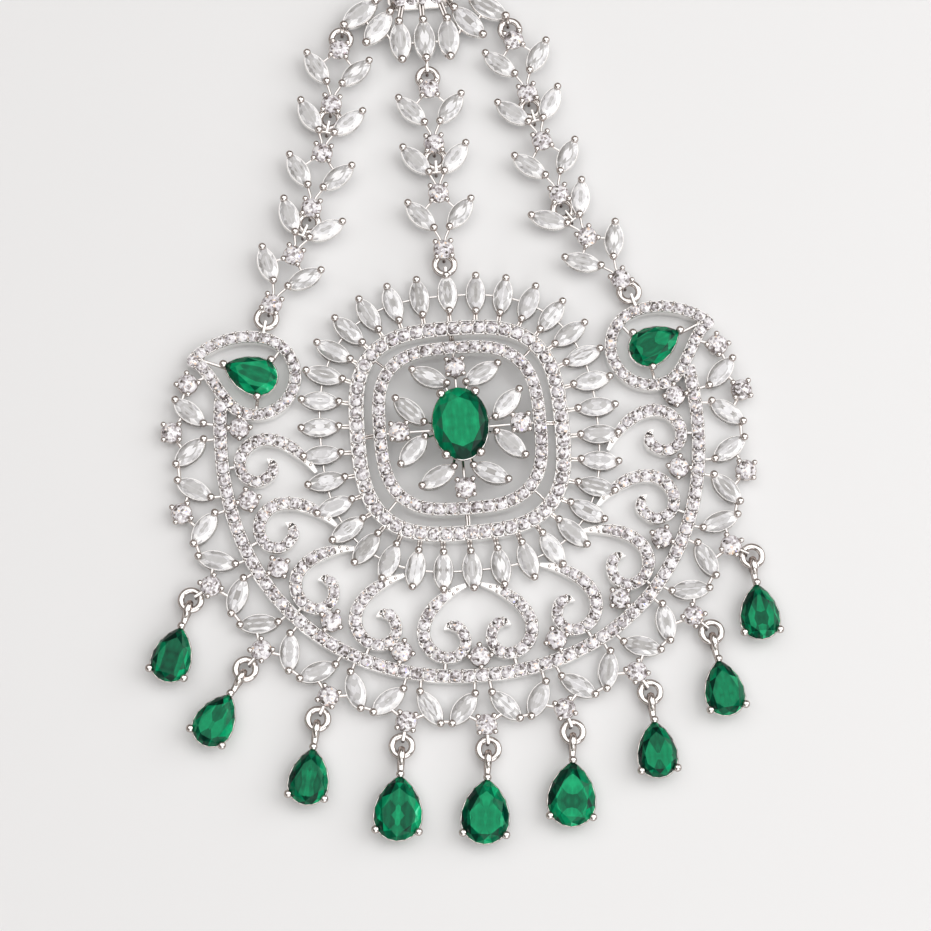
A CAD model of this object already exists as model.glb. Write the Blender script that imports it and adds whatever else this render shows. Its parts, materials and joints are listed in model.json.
"""The look of a jhoomar: a hair ornament of rhodium-white castings, clear stones and green stones.

It is dressed in the order it is made: cushion rings, halo, flower and centre stone, scrolls and
crescent, medallions, fringe, drops, chains, top piece and hook, and last the table that it lies on.
"""

import json
import math
import random

import bmesh
import bpy
import numpy as np
from mathutils import Matrix, Vector

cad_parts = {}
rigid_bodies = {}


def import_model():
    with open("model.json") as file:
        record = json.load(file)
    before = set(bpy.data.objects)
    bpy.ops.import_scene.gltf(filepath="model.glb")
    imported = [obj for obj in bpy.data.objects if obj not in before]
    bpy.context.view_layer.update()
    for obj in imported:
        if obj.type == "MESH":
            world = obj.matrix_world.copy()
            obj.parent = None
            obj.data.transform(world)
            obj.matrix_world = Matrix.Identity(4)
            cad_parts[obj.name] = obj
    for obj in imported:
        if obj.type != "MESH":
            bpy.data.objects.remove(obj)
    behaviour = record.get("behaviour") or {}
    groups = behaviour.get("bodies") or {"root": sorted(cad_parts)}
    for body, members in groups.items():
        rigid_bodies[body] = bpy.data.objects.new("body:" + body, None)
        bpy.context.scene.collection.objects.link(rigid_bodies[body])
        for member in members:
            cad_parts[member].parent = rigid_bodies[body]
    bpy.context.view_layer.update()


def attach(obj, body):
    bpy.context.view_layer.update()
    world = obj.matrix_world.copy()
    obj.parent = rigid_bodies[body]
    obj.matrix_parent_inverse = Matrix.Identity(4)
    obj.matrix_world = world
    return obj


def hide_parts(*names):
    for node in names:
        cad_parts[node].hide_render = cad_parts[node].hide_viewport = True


for startup in list(bpy.data.objects):
    bpy.data.objects.remove(startup)

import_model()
MM = 0.001

# Cushion rings
# Two squared rings frame the centre: cast channels with bright rims, each filled with one row of
# small round stones. The inner ring stands higher, and short posts join the two.
OUTER_WIDE = 13.1 * MM
OUTER_TALL = 13.6 * MM
OUTER_BAR = 2.0 * MM
OUTER_TOP = 1.9 * MM
BAR_FOOT = 0.1 * MM
INNER_WIDE = 10.25 * MM
INNER_TALL = 10.65 * MM
INNER_BAR = 1.7 * MM
INNER_TOP = 3.0 * MM
INNER_FOOT = 1.5 * MM
SQUARENESS = 3.1
RIM = 0.14 * MM
CHANNEL = 0.3 * MM
POST = 0.325 * MM
SMALL_STONE = 1.58 * MM
STONE_SHARE = 0.9
STONE_STEP = 1.05
BEAD = 0.4 * MM
WINDOW_SIDE = Vector((0.78, -0.5, 0.38))


def deselect_all():
    if bpy.context.object and bpy.context.object.mode != "OBJECT":
        bpy.ops.object.mode_set(mode="OBJECT")
    bpy.ops.object.select_all(action="DESELECT")


class Shade:
    """A socket of a material's node tree, which takes part in sums as a number does."""

    def __init__(self, tree, socket):
        self.tree = tree
        self.socket = socket

    def node(self, kind, settings=None, output=0, **inputs):
        """An output of a new node of this tree; an input's name is written with _ for a space."""
        made = self.tree.nodes.new(kind)
        for name, value in (settings or {}).items():
            if name == "stops":
                while len(made.color_ramp.elements) < len(value):
                    made.color_ramp.elements.new(0.5)
                for element, (place, colour) in zip(made.color_ramp.elements, value):
                    element.position = place
                    element.color = (*colour, 1)
            else:
                setattr(made, name, value)
        for name, value in inputs.items():
            socket = int(name[1:]) if name[1:].isdigit() else name.replace("_", " ")
            self.join(made.inputs[socket], value)
        return Shade(self.tree, made.outputs[output])

    def join(self, target, value):
        if isinstance(value, Shade):
            self.tree.links.new(value.socket, target)
        else:
            target.default_value = value

    def sum_of(self, operation, a, b):
        return self.node("ShaderNodeMath", {"operation": operation}, _0=a, _1=b)

    def __add__(self, other):
        return self.sum_of("ADD", self, other)

    __radd__ = __add__

    def __sub__(self, other):
        return self.sum_of("SUBTRACT", self, other)

    def __rsub__(self, other):
        return self.sum_of("SUBTRACT", other, self)

    def __mul__(self, other):
        return self.sum_of("MULTIPLY", self, other)

    __rmul__ = __mul__


def new_finish(name, **constants):
    """A Principled material with its constant sockets set. Gives the material and its start socket."""
    material = bpy.data.materials.new(name)
    material.use_nodes = True
    shader = material.node_tree.nodes["Principled BSDF"]
    for socket, value in constants.items():
        shader.inputs[socket.replace("_", " ")].default_value = value
    return material, Shade(material.node_tree, None), shader


def cast_metal(name, roughness, edges):
    """Rhodium plate over cast metal: bright, with a faint skin, and its own tone towards its edges."""
    material, start, shader = new_finish(name, Metallic=1.0)
    place = start.node("ShaderNodeTexCoord", output="Object")
    cloud = start.node("ShaderNodeTexNoise", output="Fac", Vector=place, Scale=420.0, Detail=3.0)
    grain = start.node("ShaderNodeTexNoise", output="Fac", Vector=place, Scale=2600.0, Detail=2.0)
    away = start.node("ShaderNodeLayerWeight", output="Facing", Blend=0.5)
    tint = start.node("ShaderNodeValToRGB", {"stops": edges}, Fac=away + cloud * 0.16 - 0.08)
    start.join(shader.inputs["Base Color"], tint)
    start.join(shader.inputs["Roughness"], roughness + cloud * 0.14)
    bump = start.node("ShaderNodeBump", Strength=0.12, Distance=0.04 * MM, Height=grain)
    start.join(shader.inputs["Normal"], bump)
    return material


def seen_through(start, across, along):
    """Where a point lies in its own stone: the same on both sides of it, and stretched along it."""
    cut = start.node("ShaderNodeUVMap", {"uv_map": "cut"}, output="UV")
    cut = start.node("ShaderNodeVectorMath", {"operation": "ABSOLUTE"}, _0=cut)
    stone = start.node("ShaderNodeAttribute", {"attribute_name": "stone"}, output="Fac")
    own = start.node("ShaderNodeCombineXYZ", X=stone * 7.0, Y=stone * 3.0, Z=stone * 90.0)
    return start.node("ShaderNodeVectorMath", {"operation": "MULTIPLY_ADD"},
                      _0=cut, _1=(across, along, 0.0), _2=own)


def inner_facets(start, place, size):
    """A grey for each of the facets that are seen through the top ones."""
    cells = start.node("ShaderNodeTexVoronoi", output="Color", Vector=place, Scale=size)
    return start.node("ShaderNodeSeparateColor", output="Red", Color=cells)


def clear_stone(name, stops, shards, size, glow, streaks=None):
    """Clear cut stone: each facet has its own glint, broken up by the facets seen through it."""
    material, start, shader = new_finish(
        name, Roughness=0.08, IOR=1.8, Coat_Weight=0.4, Coat_Roughness=0.02, Emission_Strength=glow,
    )
    glint = start.node("ShaderNodeAttribute", {"attribute_name": "glint"}, output="Fac")
    if streaks:
        place = seen_through(start, *streaks)
    else:
        place = start.node("ShaderNodeTexCoord", output="Object")
    light = glint * (1 - shards) + inner_facets(start, place, size) * shards
    colour = start.node("ShaderNodeValToRGB", {"stops": stops}, Fac=light)
    start.join(shader.inputs["Base Color"], colour)
    start.join(shader.inputs["Emission Color"], colour)
    return material


METAL = cast_metal(
    "rhodium_plate", 0.12,
    [(0.0, (0.95, 0.94, 0.93)), (0.5, (0.86, 0.84, 0.82)), (1.0, (1.0, 1.0, 1.0))],
)
WIRE_METAL = cast_metal(
    "polished_rhodium", 0.05,
    [(0.0, (0.96, 0.94, 0.92)), (0.22, (0.88, 0.85, 0.83)), (0.45, (0.48, 0.405, 0.37)),
     (0.75, (0.31, 0.25, 0.225)), (1.0, (0.21, 0.17, 0.155))],
)
SPARKLE = clear_stone(
    "small_clear_stone",
    [
        (0.0, (0.03, 0.022, 0.02)), (0.20, (0.12, 0.10, 0.09)), (0.33, (0.36, 0.32, 0.33)),
        (0.48, (0.64, 0.61, 0.65)), (0.60, (0.88, 0.86, 0.89)), (0.85, (1.0, 1.0, 1.0)),
        (0.92, (1.0, 0.72, 0.50)), (0.97, (0.50, 0.52, 1.0)),
    ],
    shards=0.66, size=3300.0, glow=0.03,
)


def outline_point(wide, tall, power, angle):
    """A point on a squared ellipse, and the outward direction there."""
    c, s = math.cos(angle), math.sin(angle)
    radius = (abs(c / wide) ** power + abs(s / tall) ** power) ** (-1 / power)
    point = Vector((radius * c, radius * s, 0))
    slope = Vector((
        math.copysign(abs(point.x / wide) ** (power - 1) / wide, point.x),
        math.copysign(abs(point.y / tall) ** (power - 1) / tall, point.y),
        0,
    ))
    return point, slope.normalized()


def spoke(angle):
    """The level direction at an angle."""
    return Vector((math.cos(angle), math.sin(angle), 0))


def left_of(direction):
    """The level direction at right angles to another, on its left."""
    return Vector((-direction.y, direction.x, 0))


def lifted(height):
    return Vector((0, 0, height))


def lengths_along(run):
    """How far along a run each of its points lies."""
    return np.cumsum([0] + [(b - a).length for a, b in zip(run, run[1:])])


def place_along(run, lengths, distance):
    """The point that far along a run, and the run's direction there."""
    last = len(run) - 2
    i = min(max(int(np.searchsorted(lengths, distance, side="right")) - 1, 0), last)
    step = run[i + 1] - run[i]
    return run[i] + step * ((distance - lengths[i]) / step.length), step.normalized()


def edit(*steps):
    """Runs steps on the active piece in edit mode, each on all of it."""
    bpy.ops.object.mode_set(mode="EDIT")
    for step, settings in steps:
        bpy.ops.mesh.select_all(action="SELECT")
        step(**settings)
    bpy.ops.object.mode_set(mode="OBJECT")


def make_active(made):
    deselect_all()
    made.select_set(True)
    bpy.context.view_layer.objects.active = made


def linked(name, data):
    """A new object in the scene."""
    made = bpy.data.objects.new(name, data)
    bpy.context.scene.collection.objects.link(made)
    return made


def as_mesh_piece(made, name):
    """Turns a curve object into a mesh piece whose place is in its mesh."""
    make_active(made)
    bpy.ops.object.convert(target="MESH")
    made = bpy.context.object
    made.name = name
    bpy.ops.object.transform_apply(location=True, rotation=True, scale=True)
    edit((bpy.ops.mesh.remove_doubles, {"threshold": 0.001 * MM}),
         (bpy.ops.mesh.normals_make_consistent, {"inside": False}))
    return made


def drawn(name, runs, section=None, thickness=0.0, closed=False, widths=None, sides=2):
    """Wire or bar drawn along runs of points, round by its thickness or with a section's profile."""
    path = bpy.data.curves.new(name, "CURVE")
    path.dimensions = "3D"
    path.twist_mode = "Z_UP"
    path.use_fill_caps = True
    profile = None
    if section:
        rail = bpy.data.curves.new("section", "CURVE")
        corners = rail.splines.new("POLY")
        corners.points.add(len(section) - 1)
        for corner, (x, y) in zip(corners.points, section):
            corner.co = (x, y, 0, 1)
        corners.use_cyclic_u = True
        profile = linked("section", rail)
        path.bevel_mode = "OBJECT"
        path.bevel_object = profile
    else:
        path.bevel_depth = thickness / 2
        path.bevel_resolution = sides
    for run in runs:
        spline = path.splines.new("POLY")
        spline.points.add(len(run) - 1)
        for index, (knot, point) in enumerate(zip(spline.points, run)):
            knot.co = (point[0], point[1], point[2], 1)
            knot.radius = widths[index] if widths else 1
        spline.use_cyclic_u = closed
    made = as_mesh_piece(linked(name, path), name)
    if profile:
        bpy.data.objects.remove(profile)
    return made


def channel_section(width, foot, top):
    """A bar's profile: straight walls, bright rims, and a channel between them for the stones."""
    half = width / 2
    side = [(half, foot), (half, top - 0.08 * MM), (half - 0.06 * MM, top), (half - RIM, top),
            (half - RIM - 0.04 * MM, top - CHANNEL)]
    return side + [(-x, y) for x, y in reversed(side)]


def copies(name, model, places):
    """A modelled piece set at each place, as one mesh."""
    built = bmesh.new()
    for place in places:
        before = len(built.verts)
        built.from_mesh(model.data)
        built.verts.ensure_lookup_table()
        bmesh.ops.transform(built, matrix=place, verts=built.verts[before:])
    mesh = bpy.data.meshes.new(name)
    built.to_mesh(mesh)
    built.free()
    return linked(name, mesh)


def gleam(made, seed, facets, calm=None, lean=0.25, side=WINDOW_SIDE):
    """Gives every facet its glint: part chance, part its lean to the window, and calm on a table.

    Every stone, of so many facets, gets a number of its own.
    """
    chance = random.Random(seed)
    glints, stones = [], []
    for face in made.data.polygons:
        stones.append((face.index // facets * 0.618) % 1)
        share = chance.random()
        if calm is not None and face.normal.z > 0.985:
            glints.append(calm + (share - 0.5) * 0.14)
        else:
            glints.append(share * (1 - lean) + lean * (0.5 + 0.6 * face.normal.dot(side)))
    made.data.attributes.new("glint", "FLOAT", "FACE").data.foreach_set("value", glints)
    made.data.attributes.new("stone", "FLOAT", "FACE").data.foreach_set("value", stones)


def finish_piece(made, material, *nodes, slot="stone_set_metal", smooth=None):
    """Gives a piece its finish, ties it to the ornament, and says which solids it stands for."""
    made.data.materials.clear()
    made.data.materials.append(material)
    make_active(made)
    if smooth:
        bpy.ops.object.shade_smooth_by_angle(angle=math.radians(smooth))
    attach(made, "root")
    if nodes:
        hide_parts(*nodes)
    return made


def set_metal(name, model, places, material=WIRE_METAL, smooth=50):
    """Copies of one metal model at all their places, as one piece."""
    return finish_piece(copies(name, model, places), material, smooth=smooth)


def set_wires(name, runs, thickness, **shape):
    """Plain wires along their runs, as one piece."""
    return finish_piece(drawn(name, runs, thickness=thickness, **shape), WIRE_METAL, smooth=50)


def set_stones(name, model, places, material, seed, **glints):
    """Copies of one cut stone at all their places, as one piece."""
    stones = copies(name, model, places)
    gleam(stones, seed, len(model.data.polygons), **glints)
    return finish_piece(stones, material)


def cut_gem(name, rounds):
    """A cut stone: rounds of corners from table to foot, and the tight skin of facets over them."""
    mesh = bpy.data.meshes.new(name)
    corners = []
    for outline, share, level, count, shift in rounds:
        for k in range(count):
            x, y = outline(math.pi / 2 + 2 * math.pi * (k + shift) / count)
            corners.append((x * share, y * share, level))
    mesh.from_pydata(corners, [], [])
    made = linked(name, mesh)
    make_active(made)
    edit((bpy.ops.mesh.convex_hull, {}),
         (bpy.ops.mesh.dissolve_limited, {"angle_limit": math.radians(1.5)}),
         (bpy.ops.mesh.normals_make_consistent, {"inside": False}))
    cut = made.data.uv_layers.new(name="cut")
    for loop in made.data.loops:
        corner = made.data.vertices[loop.vertex_index].co
        cut.data[loop.index].uv = (corner.x / MM, corner.y / MM)
    return made


def ellipse(length, width):
    return lambda angle: (width / 2 * math.cos(angle), length / 2 * math.sin(angle))


def put(x, y, z=0.0, turn=0.0, size=1.0):
    return Matrix.Translation((x, y, z)) @ Matrix.Rotation(turn, 4, "Z") @ Matrix.Scale(size, 4)


def facing(direction):
    """The turn that brings a piece's +Y onto a direction."""
    return math.atan2(direction.y, direction.x) - math.pi / 2


disc = ellipse(SMALL_STONE, SMALL_STONE)
small_stone = cut_gem(
    "small_stone",
    [(disc, 0.12, 0.33 * MM, 4, 0.5), (disc, 0.5, 0.3 * MM, 8, 0.0), (disc, 0.8, 0.18 * MM, 8, 0.5),
     (disc, 1.0, 0.0, 16, 0.0), (disc, 0.3, -0.4 * MM, 4, 0.0)],
)


def add_ball(size, at, segments, rings):
    """A bead, or the round end of a prong."""
    deselect_all()
    bpy.ops.mesh.primitive_uv_sphere_add(segments=segments, ring_count=rings, radius=size / 2,
                                         location=at)
    return bpy.context.object


small_bead = add_ball(BEAD, (0, 0, 0), 8, 5)
bpy.ops.transform.resize(value=(1.0, 1.0, 1.15))
bpy.ops.object.transform_apply(scale=True)


def stone_row(path, widths, top, closed, seed, bare_foot=0.0, bare_tip=0.0):
    """Places of the stones in a channel, each as wide as it is there, and of two beads a joint."""
    run = [*path, path[0]] if closed else path
    lengths = lengths_along(run)
    wide = np.full(len(run), widths) if isinstance(widths, float) else np.array(widths)
    room = lengths[-1] - bare_foot - bare_tip
    sizes, used = [], 0.0
    while used < room:
        width = np.interp(bare_foot + used, lengths, wide)
        sizes.append(min(STONE_SHARE * width, SMALL_STONE))
        used += sizes[-1] * STONE_STEP
    chance = random.Random(seed)
    stones, beads = [], []
    at = bare_foot
    for size in sizes:
        span = size * STONE_STEP * room / used
        point, direction = place_along(run, lengths, at + span / 2)
        tilt = Matrix.Rotation(chance.uniform(-0.1, 0.1), 4, "X")
        tilt = tilt @ Matrix.Rotation(chance.uniform(-0.1, 0.1), 4, "Y")
        turn = facing(direction) + chance.uniform(-0.4, 0.4)
        stones.append(put(point.x, point.y, top + 0.03 * MM, turn, size / SMALL_STONE) @ tilt)
        at += span
        point, direction = place_along(run, lengths, at)
        side = left_of(direction)
        aside = np.interp(at, lengths, wide) / 2 - BEAD * 0.55
        for hand in (-1, 1):
            bead = point + side * aside * hand
            beads.append(put(bead.x, bead.y, top + 0.12 * MM, 0, size / SMALL_STONE))
    return stones, beads


def set_bar(name, path, width, top, foot=BAR_FOOT, closed=True, nodes=()):
    """A cast channel along its path, as one piece."""
    bar = drawn(name, [path], channel_section(width, foot, top), closed=closed)
    finish_piece(bar, METAL, *nodes, smooth=35)


def pave(name, rows, more_beads=()):
    """The stones and beads of several channels, as two pieces."""
    stones, beads = [], list(more_beads)
    for index, row in enumerate(rows):
        row_stones, row_beads = stone_row(*row[:4], index + len(name), *row[4:])
        stones += row_stones
        beads += row_beads
    set_stones(name + "_stones", small_stone, stones, SPARKLE, len(name))
    set_metal(name + "_beads", small_bead, beads, smooth=60)


def full_turn(count, start=0.0):
    return [start + 2 * math.pi * k / count for k in range(count)]


def cushion_path(wide, tall):
    return [outline_point(wide, tall, SQUARENESS, turn)[0] for turn in full_turn(96)]


outer_path = cushion_path(OUTER_WIDE, OUTER_TALL)
inner_path = cushion_path(INNER_WIDE, INNER_TALL)
set_bar("outer_cushion_ring", outer_path, OUTER_BAR, OUTER_TOP, nodes=["pendant_frame"])
set_bar("inner_cushion_ring", inner_path, INNER_BAR, INNER_TOP, foot=INNER_FOOT)
pave("cushion_rings", [(outer_path, OUTER_BAR, OUTER_TOP, True),
                       (inner_path, INNER_BAR, INNER_TOP, True)])
posts = []
for eighth in range(8):
    angle = eighth * math.pi / 4
    for shift in (-1, 1) if eighth % 2 == 0 else (0,):
        start, normal = outline_point(INNER_WIDE, INNER_TALL, SQUARENESS, angle)
        end, _ = outline_point(OUTER_WIDE, OUTER_TALL, SQUARENESS, angle)
        side = left_of(normal) * shift * 0.16 * MM
        posts.append([start + side + lifted(2.2 * MM), end + side + lifted(1.2 * MM)])
set_wires("ring_posts", posts, POST)

# Halo
# Thirty-four clear marquises stand round the outer ring like rays. Each has an open basket of thin
# wire with a ball at both tips, a stem of two wires to the ring, and a small bar to its neighbour.
HALO_COUNT = 34
HALO_STEM = 1.15 * MM
HALO_SQUARENESS = 2.5
LEAF_LENGTH = 5.1 * MM
LEAF_STONE = (4.85 * MM, 2.35 * MM)
LEAF_GLINT = {"calm": 0.34, "lean": 0.62}
LEAF_GIRDLE = 1.45 * MM
BASKET_DEPTH = 0.95 * MM
LOW_BASKET_DEPTH = 0.45 * MM
BALL = 1.0 * MM
BALL_STEM = 0.5 * MM
BALL_AT = 2.4 * MM
BALL_LEVEL = 0.28 * MM
FINE_WIRE = 0.28 * MM


def marquise(length, width, bulge=0.4):
    def outline(angle):
        side = math.cos(angle)
        return width / 2 * side * abs(side) ** bulge, length / 2 * math.sin(angle)

    return outline


SOFT_SPARKLE = clear_stone(
    "clear_marquise",
    [
        (0.0, (0.16, 0.145, 0.135)), (0.18, (0.32, 0.31, 0.30)), (0.34, (0.47, 0.465, 0.46)),
        (0.50, (0.57, 0.565, 0.575)), (0.62, (0.80, 0.80, 0.82)), (0.74, (1.0, 1.0, 1.0)),
    ],
    shards=0.48, size=1.0, glow=0.04, streaks=(2.5, 0.75),
)
leaf_outline = marquise(*LEAF_STONE)
leaf_gem = cut_gem(
    "leaf_gem",
    [(lambda angle: (0.0, 0.7 * MM * math.sin(angle)), 1.0, 0.5 * MM, 2, 0.0),
     (leaf_outline, 0.58, 0.45 * MM, 12, 0.0), (leaf_outline, 0.82, 0.3 * MM, 12, 0.5),
     (leaf_outline, 1.0, 0.0, 24, 0.0), (leaf_outline, 0.6, -0.5 * MM, 10, 0.0),
     (leaf_outline, 0.25, -0.78 * MM, 4, 0.0)],
)


def gallery_loops(outline, levels, count, start=0.0):
    """Closed wires that follow a stone's outline, each at its share of it and its height."""
    return [[Vector((*[c * share for c in outline(turn)], level)) for turn in full_turn(count, start)]
            for share, level in levels]


def leaf_wires(name, depth):
    """The bright gallery of a marquise: a wire under its girdle and a lower one."""
    loops = gallery_loops(leaf_outline, [(1.0, -0.16 * MM), (1.03, -depth)], 24)
    return drawn(name, loops, thickness=FINE_WIRE, closed=True, sides=1)


def leaf_balls(name, depth):
    """The two posts at a marquise's tips and the balls that hold it."""
    heads = [Vector((0, end * BALL_AT, BALL_LEVEL)) for end in (-1, 1)]
    posts = [[Vector((0, head.y, -depth)), head] for head in heads]
    parts = [drawn("ball_posts", posts, thickness=BALL_STEM, sides=2)]
    parts += [add_ball(BALL, head, 14, 9) for head in heads]
    return soldered(name, parts)


def soldered(name, parts):
    """Several shapes joined as one mesh."""
    deselect_all()
    for part in parts:
        part.select_set(True)
    bpy.context.view_layer.objects.active = parts[0]
    bpy.ops.object.join()
    made = bpy.context.object
    made.name = name
    bpy.ops.object.transform_apply(location=True, rotation=True, scale=True)
    return made


tall_wires = leaf_wires("tall_wires", BASKET_DEPTH)
tall_balls = leaf_balls("tall_balls", BASKET_DEPTH)
low_wires = leaf_wires("low_wires", LOW_BASKET_DEPTH)
low_balls = leaf_balls("low_balls", LOW_BASKET_DEPTH)


def leaf_place(foot, direction, girdle):
    centre = foot + direction * LEAF_LENGTH / 2
    return put(centre.x, centre.y, girdle, facing(direction))


def halo_leaf(k):
    """Foot and direction of a marquise, counted from the lowest towards the right."""
    reach = OUTER_BAR / 2 + 0.025 * MM + HALO_STEM + LEAF_LENGTH
    tip, normal = outline_point(OUTER_WIDE + reach, OUTER_TALL + reach, HALO_SQUARENESS,
                                2 * math.pi * k / HALO_COUNT - math.pi / 2)
    return tip - normal * LEAF_LENGTH, normal


halo_places, halo_low, halo_wires, halo_bars = [], [], [], []
halo_leaves = [halo_leaf(k) for k in range(HALO_COUNT)]
for k, (foot, normal) in enumerate(halo_leaves):
    holds_chain = k == HALO_COUNT // 2
    girdle = LEAF_GIRDLE + (0.55 * MM if holds_chain else 0)
    place = leaf_place(foot, normal, girdle)
    (halo_low if holds_chain else halo_places).append(place)
    side = left_of(normal)
    for hand in (-1, 1):
        start = foot + normal * BALL * 0.5 + side * hand * 0.14 * MM + lifted(1.25 * MM)
        end = foot - normal * (HALO_STEM + 0.3 * MM) + side * hand * 0.2 * MM + lifted(0.9 * MM)
        halo_wires.append([start, end])
    after, turn_after = halo_leaves[(k + 1) % HALO_COUNT]
    middles = []
    for (base, way), sign in (((foot, normal), 1), ((after, turn_after), -1)):
        across = left_of(way) * sign
        middles.append(base + way * LEAF_LENGTH * 0.5 + across * LEAF_STONE[1] * 0.42
                       + lifted(0.85 * MM))
    halo_bars.append(middles)
set_metal("halo_galleries", tall_wires, halo_places, METAL)
set_metal("halo_balls", tall_balls, halo_places)
set_metal("halo_top_gallery", low_wires, halo_low, METAL)
set_metal("halo_top_balls", low_balls, halo_low)
set_stones("halo_stones", leaf_gem, halo_places + halo_low, SOFT_SPARKLE, 11, **LEAF_GLINT)
set_wires("halo_stems", halo_wires + halo_bars, FINE_WIRE * 1.15, sides=1)

# Flower
# Inside the inner ring four round stones and four pairs of marquises open like petals round the
# oval green stone, raised above the rings. Thin wires tie them to the oval's claw cup.
FLOWER_GIRDLE = 3.3 * MM
ROUND_STONE = 2.55 * MM
ROUND_GIRDLE = 1.5 * MM
ROUND_BALL = 0.72 * MM
ROUND_BALL_LEVEL = 0.2 * MM
ROUND_POST = 0.4 * MM
LOW_ROUND_DEPTH = 0.42 * MM
FLOWER_ROUNDS = {"tall": 8.0 * MM, "wide": 7.8 * MM}
FLOWER_PAIRS = [
    # turn of the pair in degrees, foot along, foot across, lean in degrees, reach of its round
    (90, 5.75 * MM, 1.1 * MM, 63, FLOWER_ROUNDS["tall"]),
    (0, 4.45 * MM, 0.85 * MM, 45, FLOWER_ROUNDS["wide"]),
    (270, 5.15 * MM, 1.1 * MM, 63, FLOWER_ROUNDS["tall"]),
    (180, 4.45 * MM, 0.85 * MM, 45, FLOWER_ROUNDS["wide"]),
]
bright = ellipse(ROUND_STONE, ROUND_STONE)
round_gem = cut_gem(
    "round_gem",
    [(bright, 0.2, 0.47 * MM, 8, 0.5), (bright, 0.52, 0.42 * MM, 8, 0.0),
     (bright, 0.8, 0.27 * MM, 8, 0.5), (bright, 1.0, 0.0, 16, 0.0), (bright, 0.5, -0.45 * MM, 8, 0.0)],
)


def round_basket(name, depth):
    """The setting of a round stone: girdle wire, lower wire, and four ball prongs."""
    loops = gallery_loops(bright, [(0.96, -0.18 * MM), (0.9, -depth)], 16)
    parts = [drawn("round_wires", loops, thickness=FINE_WIRE, closed=True, sides=1)]
    radius = ROUND_STONE / 2 + ROUND_BALL * 0.2
    posts = []
    for quarter in range(4):
        out = spoke(quarter * math.pi / 2)
        head = out * radius + lifted(ROUND_BALL_LEVEL)
        posts.append([out * radius * 0.9 - lifted(depth), head])
        parts.append(add_ball(ROUND_BALL, head, 12, 8))
    parts.append(drawn("round_posts", posts, thickness=ROUND_POST, sides=1))
    return soldered(name, parts)


tall_round = round_basket("tall_round", BASKET_DEPTH)
low_round = round_basket("low_round", LOW_ROUND_DEPTH)

petal_places, bud_places, petal_wires = [], [], []
for turn, along, across, lean, reach in FLOWER_PAIRS:
    axis = spoke(math.radians(turn))
    side = left_of(axis)
    bud_places.append(put(axis.x * reach, axis.y * reach, FLOWER_GIRDLE, facing(axis) + math.pi / 4))
    for near, far in ((reach - 0.6 * MM, 2.4 * MM), (reach, reach + 2.6 * MM)):
        petal_wires.append([axis * near + lifted(2.4 * MM), axis * far + lifted(2.2 * MM)])
    for hand in (-1, 1):
        foot = axis * along + side * across * hand
        angle = math.radians(lean)
        direction = axis * math.cos(angle) + side * math.sin(angle) * hand
        petal_places.append(leaf_place(foot, direction, FLOWER_GIRDLE))
        petal_wires.append([foot + direction * 0.4 * MM + lifted(2.9 * MM),
                            foot * 0.45 + lifted(2.3 * MM)])
set_metal("flower_galleries", tall_wires, petal_places, METAL)
set_metal("flower_balls", tall_balls, petal_places)
set_metal("flower_round_settings", tall_round, bud_places)
set_stones("flower_stones", leaf_gem, petal_places, SOFT_SPARKLE, 21, **LEAF_GLINT)
set_stones("flower_round_stones", round_gem, bud_places, SPARKLE, 22)
set_wires("flower_wires", petal_wires, FINE_WIRE * 1.3, sides=1)

# Centre stone
# An oval, table-cut green stone sits highest of all in a claw cup with two gallery wires. Its
# inside is deep at the rim and lighter under the table, where pale light comes up through it.
OVAL_WIDTH = 7.2 * MM
OVAL_LENGTH = 9.6 * MM
OVAL_GIRDLE = 4.8 * MM
OVAL_CROWN = 0.85 * MM
CLAW_BALL = 1.2 * MM


def green_stone(name, shards, stops):
    """Deep green cut stone: near black to bright green facets, and what is seen through them."""
    material, start, shader = new_finish(name, Roughness=0.1, IOR=1.28, Emission_Strength=0.1)
    glint = start.node("ShaderNodeAttribute", {"attribute_name": "glint"}, output="Fac")
    place = seen_through(start, 0.85, 0.4)
    haze = start.node("ShaderNodeTexNoise", output="Fac", Vector=place, Scale=1.6, Detail=2.0)
    inner = inner_facets(start, place, 1.0)
    light = glint * 0.8 + haze * 0.5 + inner * shards - (0.21 + shards / 2)
    colour = start.node("ShaderNodeValToRGB", {"stops": stops}, Fac=light)
    start.join(shader.inputs["Base Color"], colour)
    start.join(shader.inputs["Emission Color"], colour)
    return material


GREEN_STOPS = [
    (0.0, (0.0, 0.010, 0.007)), (0.25, (0.0, 0.035, 0.019)), (0.5, (0.0, 0.125, 0.055)),
    (0.72, (0.001, 0.27, 0.11)), (0.9, (0.006, 0.44, 0.18)), (1.0, (0.12, 0.75, 0.42)),
]
OVAL_GREEN = green_stone("green_oval_stone", 0.08, GREEN_STOPS)
PEAR_GREEN = green_stone("green_pear_stone", 0.34, GREEN_STOPS)


def green_gem(name, outline, crown, depth, sides, place, node, seed, finish=PEAR_GREEN, calm=0.68,
              lean=0.35, bright=(0.6, -0.5)):
    """A green stone with a wide table. The table is calm and light, the crown's facets vary."""
    model = cut_gem(
        name + "_model",
        [(outline, 0.68, crown, sides, 0.0), (outline, 0.87, crown * 0.62, sides, 0.5),
         (outline, 1.0, 0.0, sides * 2, 0.0), (outline, 0.97, -0.08 * MM, sides * 2, 0.0),
         (outline, 0.6, -depth * 0.6, sides, 0.5), (outline, 0.2, -depth, sides, 0.0)],
    )
    gem = copies(name, model, [place])
    gleam(gem, seed, len(model.data.polygons), calm=calm, lean=lean, side=Vector((*bright, 0)))
    gem.data.attributes["stone"].data.foreach_set("value", [seed * 0.137 % 1] * len(gem.data.polygons))
    bpy.data.objects.remove(model)
    finish_piece(gem, finish, node, slot="green_stone")


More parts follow.
